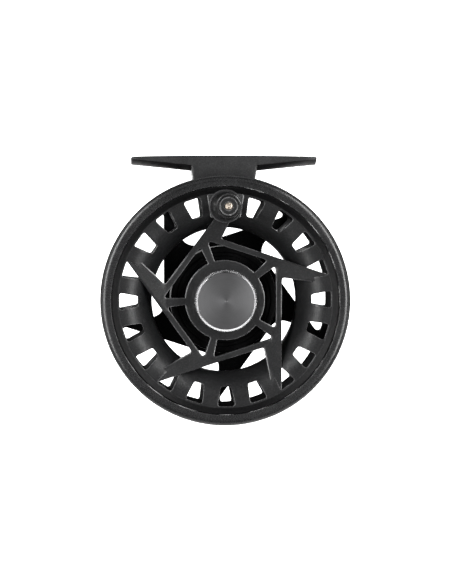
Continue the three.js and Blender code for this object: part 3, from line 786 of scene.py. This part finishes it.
def face_outlines():
    """The spool's face: its five arms' edge, the gaps round the hub, and the hub's bore."""
    rim = SPIDER["rim"]
    edge = []
    for k in range(FOLD):
        turn = SPIDER["first_turn"] + FOLD_TURN * k
        line_end = arm_point(turn, math.sqrt(rim ** 2 - SPIDER["tangent"] ** 2), SPIDER["tangent"])
        root = arm_point(turn, *ARM["root"])
        blade_end = on_circle(root, arm_point(turn, *ARM["inner_end"]), rim)
        start, end = angle_of(line_end), angle_of(blade_end)
        sweep = (end - start) % 360
        tip = arc(rim, start, start + sweep, 10)
        edge += [(*p, 0) for p in tip] + [(*root, 0.75)]
    holes = []
    for k in range(FOLD):
        turn = SPIDER["first_turn"] + FOLD_TURN * k
        before = turn - FOLD_TURN
        near, far = arm_point(turn, *ARM["hub_near"]), arm_point(before, *ARM["hub_far"])
        start = angle_of(far)
        sweep = (angle_of(near) - start) % 360
        hub = arc(SPIDER["hub"], start, start + sweep, 14)
        corners = [(*hub[0], 0.3), *[(*p, 0) for p in hub[1:-1]], (*hub[-1], 0.3),
                   (*arm_point(turn, *ARM["spoke_near"]), 0.65), (*arm_point(before, *ARM["spoke_far"]), 0.65)]
        holes.append(fillet(corners, 0, 5))
    return [fillet(edge, 0, 5), *holes, circle(SPIDER["bore"], 96)]


def face_depth(radius):
    """The depths of the face's front and back surfaces: the arms rise outwards, and thin in two stages."""
    flat = SPIDER["tangent"] + 1
    front, thick = SPIDER["face"], SPIDER["thick"]
    reach = SPOOL["seat"] + 0.6 - flat
    share = min(1, max(0, (radius - flat) / reach))
    near = front - SPIDER["rise"] * share
    stage, thinned, tip, least = 8, 1.2, 1, 0.9
    if radius < flat:
        far = front + thick
    elif radius < flat + stage:
        far = front + thick - thinned * (radius - flat) / stage
    else:
        fall = (thick - thinned + SPIDER["rise"] - tip) * (radius - flat - stage) / (reach - stage)
        far = front + thick - thinned - fall
    return near, max(far, near + least)


def spool_face():
    thick, bevel = SPIDER["thick"], SPIDER["bevel"]
    bm = plate("face", face_outlines(), 0, thick, bevel, 1)
    grid_cut(bm, 38, 1.9)
    for v in bm.verts:
        near, far = face_depth(math.hypot(v.co.x, v.co.z))
        here = v.co.y
        if here <= bevel:
            v.co.y = near + here
        elif here >= thick - bevel:
            v.co.y = far - (thick - here)
        else:
            share = (here - bevel) / (thick - 2 * bevel)
            v.co.y = near + bevel + share * (far - near - 2 * bevel)
    mark_edges(bm)
    to_place(bm)
    return mesh_from(bm, "face")


def hub_mesh():
    bore, outer, front, rear = 9.15, SPIDER["hub"] - 0.02, 5.3, 12
    corners = [(bore, front), (outer, front), (outer, rear, 0.3), (bore, rear, 0.2)]
    return lathe("hub", fillet(corners, 0, 4), 160)


def boss_mesh():
    """The round boss under the handle, and the raised pad that it stands on."""
    corners = [(0, 0.4, 0), (5.45, 0.4, 0.2), (5.8, 0.75, 0.3), (5.8, 3.0, 0), (0, 3.0, 0)]
    boss = lathe("boss", fillet(corners, 0, 5), 96, (0, HANDLE_RADIUS))
    # The boss's chamfers take the painted highlight.
    mark_where(boss, 1, lambda radius, normal: is_chamfer(normal))
    pad = fillet([(-5.2, 28.3, 0.9), (-6.5, 36.6, 0.8), (6.5, 36.6, 0.8), (5.2, 28.3, 0.9)], 0.8, 6)
    bm = plate("pad", [pad], SPOOL["face"] - 0.75, SPOOL["face"] + 1.3, 0.4, 1)
    mark_edges(bm)
    to_place(bm)
    return join("boss", [boss, mesh_from(bm, "pad")])


def build_spool():
    mesh = join("spool_casting", [spool_shell(), spool_face(), hub_mesh(), boss_mesh()])
    # Index 1 carries the painted highlight on chamfers, 2 the painted shade on window walls, and 3 the painted shade
    # on the lip band.
    coats = [EDGE_HIGHLIGHT_COAT, COVER_SHADE_COAT, LIP_SHADE_COAT]
    finish_mesh("spool_casting", mesh, SPOOL_COAT, "spool", ["spool"], angle=34, others=coats)


# ---- Handle ----

def handle_lathe(name, corners):
    """Turns (radius, height above the boss, corner radius) rows about the handle's own axis."""
    base = depth_of("handle_post", 1)
    return lathe(name, [(p.x, base - p.y) for p in fillet(corners, 0, 5)], 96, (0, HANDLE_RADIUS))


def build_handle():
    knob = [
        (4.3, 0.45, 0.15), (4.75, 0.8, 0.3), (4.78, 2.3, 0.7), (4.3, 4.9, 2.5), (3.85, 9.0, 6), (3.88, 13.0, 6),
        (4.12, 16.6, 2.5), (4.15, 18.4, 0.5), (3.75, 19.15, 0.35), (3.5, 19.1, 0.12), (3.46, 18.3, 0),
        (3.3, 18.3, 0), (3.3, 0.45, 0),
    ]
    finish_mesh("handle_grip", handle_lathe("handle_grip", knob), KNOB_COAT, "handle", ["handle_knob"])
    post = [
        (1.15, 0.0, 0), (3.2, 0.0, 0), (3.2, 18.72, 0.12), (3.0, 18.72, 0.12), (2.8, 18.45, 0.1),
        (1.62, 18.4, 0.1), (1.3, 17.9, 0.1), (1.15, 17.9, 0),
    ]
    # The post's chamfer takes the painted highlight.
    core = mark_where(handle_lathe("handle_core", post), 1, lambda radius, normal: is_chamfer(normal))
    finish_mesh("handle_core", core, CORE_COAT, "spool", ["handle_post"], others=[POST_EDGE_HIGHLIGHT])
    washer = [(3.1, 0.0, 0), (4.15, 0.0, 0.08), (4.15, 0.33, 0.08), (3.1, 0.33, 0)]
    base = handle_lathe("handle_base_washer", washer)
    finish_mesh("handle_base_washer", base, SLOT_LOOKS["steel"], "spool", ["handle_washer"])

    # The screw's head has a cross cut in it, deepest at its middle.
    top = depth_of("handle_screw", 0)
    head, cut_half, cut_reach, sink = 1.24, 0.19, 0.95, 0.6
    steps, rows = 36, 12
    centre = (0, HANDLE_RADIUS)
    bm = bmesh.new()
    grid = []
    for i in range(rows + 1):
        radius = head * i / rows
        dome = 0.22 * (radius / head) ** 2 + (0.35 if i == rows else 0)
        ring = []
        for p, turned in zip(circle(radius, steps, 45), circle(radius, steps)):
            cut = min(abs(turned.x), abs(turned.y)) < cut_half and radius < cut_reach
            depth = top + dome + (sink * (1 - radius / 1.3) if cut else 0)
            ring += ring_at(bm, [p], depth, centre)
        grid.append(ring)
    base = ring_at(bm, circle(head * 0.8, steps, 45), top + 1.3, centre)
    grid.append(base)
    loft(bm, grid)
    bm.faces.new(base)
    bmesh.ops.dissolve_degenerate(bm, dist=1e-7, edges=bm.edges)
    screw = mesh_from(bm, "handle_screw_head")
    finish_mesh("handle_screw_head", screw, SLOT_LOOKS["brass"], "spool", ["handle_screw"], 45)


# ---- Cap ----

def build_cap():
    """The spool cap: a knurled drum with a polished bevel round a fine-turned face."""
    front, rear = depth_of("spool_cap", 0), CAP["rear"]
    outer = radius_of("spool_cap") + CAP["grow"]
    waves = (0.0, 0.6, 1.0, 0.6)  # shares of the groove's depth, over one ridge
    segments = CAP["ridges"] * len(waves)
    profile = [  # radius, depth and whether the ring is knurled
        (outer - 0.3, rear, False), (outer, rear - 0.35, True), (outer, front + 0.95, True),
        (outer - 0.05, front + 0.72, True), (outer - 0.14, front + 0.62, True), (outer - 0.3, front + 0.48, False),
        (outer - 0.84, front + 0.05, False), (outer - 0.92, front, False), (outer - 1.0, front + 0.16, False),
    ]
    bm = bmesh.new()
    rings = []
    for radius, depth, knurled in profile:
        ring = []
        for k in range(segments):
            wave = waves[k % len(waves)] if knurled else 0.35
            ring += ring_at(bm, [polar(radius - CAP["groove"] * wave, 360 * k / segments)], depth)
        rings.append(ring)
    loft(bm, rings)
    bm.faces.new(rings[0])
    bm.faces.new(rings[-1])
    drum = mesh_from(bm, "drum")
    stem = lathe("stem", [(0, 4.0), (2.4, 4.0), (2.4, rear), (1.5, rear), (1.5, 12.0), (0, 12.0)], 48)
    finish_mesh("spool_cap_drum", join("spool_cap_drum", [drum, stem]), CAP_RIM, "cap", ["spool_cap"])
    face = [
        (0, front + 0.1, 0), (0.3, front + 0.12, 0.05), (0.42, front + 0.03, 0.05),
        (outer - 1.1, front + 0.03, 0.05), (outer - 1.02, front + 0.18, 0), (0, front + 0.18, 0),
    ]
    finish_mesh("spool_cap_face", lathe("spool_cap_face", fillet(face, 0, 3), 192), CAP_FACE, "cap", [])


# ---- Drag cover and knob ----

def build_drag():
    face, bead = COVER["face"], COVER["bead"]
    rings = [(6.9, face, 0)]
    for radius in COVER["beads"]:
        rings += [(radius, face, 0.1), (radius + 0.3, bead, 0.1), (radius + 1.2, bead, 0.1), (radius + 1.5, face, 0.1)]
    outer = radius_of("drag_cover")
    rings += [(outer - 0.4, face, 0.3), (outer, 12.9, 0.2), (outer, 14.1), (16.3, 14.1), (16.3, 14.7),
              (8.4, 14.7), (8.4, 13.4), (6.9, 13.4)]
    cover = lathe("drag_cover_rings", fillet(rings, 0, 3), 160)
    # The drag cover takes the painted shade of the deep inside.
    finish_mesh("drag_cover_rings", cover, COVER_SHADE_COAT, "frame", ["drag_cover"])
    cup = [(16.5, 14.3, 0.2), (18.5, 14.3, 0.2), (18.5, 28.0), (12.6, 28.0), (12.6, 25.8), (16.5, 25.8)]
    # The drag cup takes the painted shade of the deep inside.
    finish_mesh("drag_cup", lathe("drag_cup", fillet(cup, 0, 4), 160), COVER_SHADE_COAT, "frame", ["drag_housing"])


def build_drag_knob():
    """The knob at the back, with a scalloped grip."""
    front, rear = depth_of("drag_knob", 0), depth_of("drag_knob", 1)
    outer, inside, lobes = KNOB["outer"], KNOB["front"], KNOB["lobes"]
    segments = lobes * 24
    profile = [  # radius, depth and share of the scallops
        (12.0, inside, 0), (12.0, front + 0.3, 0), (12.3, front, 0), (outer - 1.2, front, 0),
        (outer - 0.9, front + 0.25, 0), (outer - 0.9, front + 0.95, 0), (outer - 0.3, front + 1.15, 1),
        (outer, front + 1.6, 1), (outer, rear - 1.7, 1), (outer - 0.25, rear - 1.0, 1),
        (outer - 0.9, rear - 0.45, 0.8), (outer - 1.7, rear - 0.1, 0.4), (outer - 2.6, rear, 0),
        (11.4, rear, 0), (11.2, rear - 0.3, 0), (10.4, rear - 0.35, 0), (10.2, rear - 0.05, 0),
        (4.3, rear - 0.05, 0), (3.8, rear - 0.5, 0), (3.8, rear - 2.1, 0), (1.7, rear - 2.1, 0), (1.7, inside, 0),
    ]
    bm = bmesh.new()
    rings = []
    for radius, depth, share in profile:
        ring = []
        for k in range(segments):
            degrees = 360 * k / segments
            wave = 0.5 - 0.5 * math.cos(math.radians(lobes * degrees))
            ring += ring_at(bm, [polar(radius - KNOB["scoop"] * share * wave ** 0.8, degrees)], depth)
        rings.append(ring)
    loft(bm, rings, closed=True)
    finish_mesh("drag_knob_grip", mesh_from(bm, "drag_knob_grip"), GRIP_COAT, "drag_knob", ["drag_knob"])


build_frame()
build_foot()
build_spool()
build_handle()
build_cap()
build_drag()
build_drag_knob()


# ---- Camera, floor and lights ----

def build_stage():
    """A pale floor that sweeps up behind the reel into a backdrop. Its lengths are in metres."""
    front_y, floor_z, back_y, bend = -0.05, -0.30, 0.75, 0.2
    half_width, high_z, steps = 2.2, 2.2, 16
    bm = bmesh.new()
    path = [(front_y, floor_z)]
    for a in [math.pi / 2 * k / steps for k in range(steps + 1)]:
        path.append((back_y - bend + bend * math.sin(a), floor_z + bend - bend * math.cos(a)))
    path.append((back_y, high_z))
    rows = [[bm.verts.new((x, y, z)) for x in (-half_width, half_width)] for y, z in path]
    for a, b in zip(rows, rows[1:]):
        bm.faces.new((a[0], a[1], b[1], b[0]))
    mesh = mesh_from(bm, "stage_sweep")
    for polygon in mesh.polygons:
        polygon.use_smooth = True
    s = Shader("stage_paper")
    tone = s.mix(s.spread(s.noise(6, 2), 0, 1), (0.97, 0.97, 0.97), (1.0, 1.0, 1.0))
    across = s.node("ShaderNodeVectorMath", {"Vector": s.coordinates}, operation="LENGTH").outputs["Value"]
    glow = s.spread(across, 1.0, 0.0, 0.82, 0.92)
    s.set(Base_Color=tone, Roughness=0.9, Emission_Color=(1.0, 1.0, 1.0), Emission_Strength=glow)
    mesh.materials.append(s.material)
    sweep = bpy.data.objects.new("stage_sweep", mesh)
    bpy.context.scene.collection.objects.link(sweep)


def area_light(name, offset, width, height, power):
    """A lamp at an offset in metres from the reel's middle, facing it."""
    light = bpy.data.lights.new(name, "AREA")
    light.shape = "RECTANGLE"
    light.size, light.size_y = width, height
    light.energy = power
    thing = bpy.data.objects.new(name, light)
    thing.location = CENTRE + Vector(offset)
    thing.rotation_euler = (CENTRE - thing.location).to_track_quat("-Z", "Y").to_euler()
    thing.visible_camera = False
    bpy.context.scene.collection.objects.link(thing)


CENTRE = place(0, 8, 0)
build_stage()
for lamp in [  # name, offset, width and height in metres, power in watts
    ("panel_front", (0.1, -1.2, -0.24), 1.3, 1.2, 1.9),
    ("panel_high", (0, -0.75, 0.7), 0.9, 0.5, 0.6),
    ("softbox_left", (-0.64, -0.7, 0.14), 0.2, 1.2, 10.5),
    ("softbox_right", (0.64, -0.7, 0.18), 0.2, 1.2, 11),
    ("strip_left", (-0.86, -0.2, 0.22), 0.2, 1.3, 1.5),
    ("strip_right", (0.86, -0.2, 0.22), 0.2, 1.3, 1.5),
    ("back_left", (-0.42, 0.56, 0.3), 0.4, 0.4, 3.0),
    ("back_right", (0.42, 0.56, 0.3), 0.4, 0.4, 3.0),
    ("strip_low", (0, -0.06, -0.26), 0.7, 0.1, 0.3),
    ("strip_high", (0, -0.05, 0.7), 0.8, 0.12, 0.4),
]:
    area_light(*lamp)

world = bpy.data.worlds.new("studio")
world.use_nodes = True
background = world.node_tree.nodes["Background"]
background.inputs["Color"].default_value = (0.75, 0.76, 0.78, 1)
background.inputs["Strength"].default_value = 0.008
bpy.context.scene.world = world
bpy.context.scene.view_settings.view_transform = "Standard"

# The camera stands a little to the left of the reel's axis and a little above it.
VIEW_HEIGHT = 200.0  # how much the picture shows from top to bottom, in the plane of the ring's face
AIM = (0.0685, 3.0137)  # what the picture's middle shows, to the right of the axis and above it, in that plane
DISTANCE, LEFT, ABOVE = 800.0, 43.8, 33.0
SENSOR = 24
camera_data = bpy.data.cameras.new("camera")
camera = bpy.data.objects.new("camera", camera_data)
bpy.context.scene.collection.objects.link(camera)
eye = place(-LEFT, -DISTANCE, ABOVE)
target = place(AIM[0], 0, AIM[1])
camera.location = eye
camera.rotation_euler = (target - eye).to_track_quat("-Z", "Y").to_euler()
camera_data.sensor_fit = "VERTICAL"
camera_data.sensor_height = SENSOR
camera_data.lens = SENSOR * (target - eye).length / MM / VIEW_HEIGHT
camera_data.clip_start = 0.01
bpy.context.scene.camera = camera
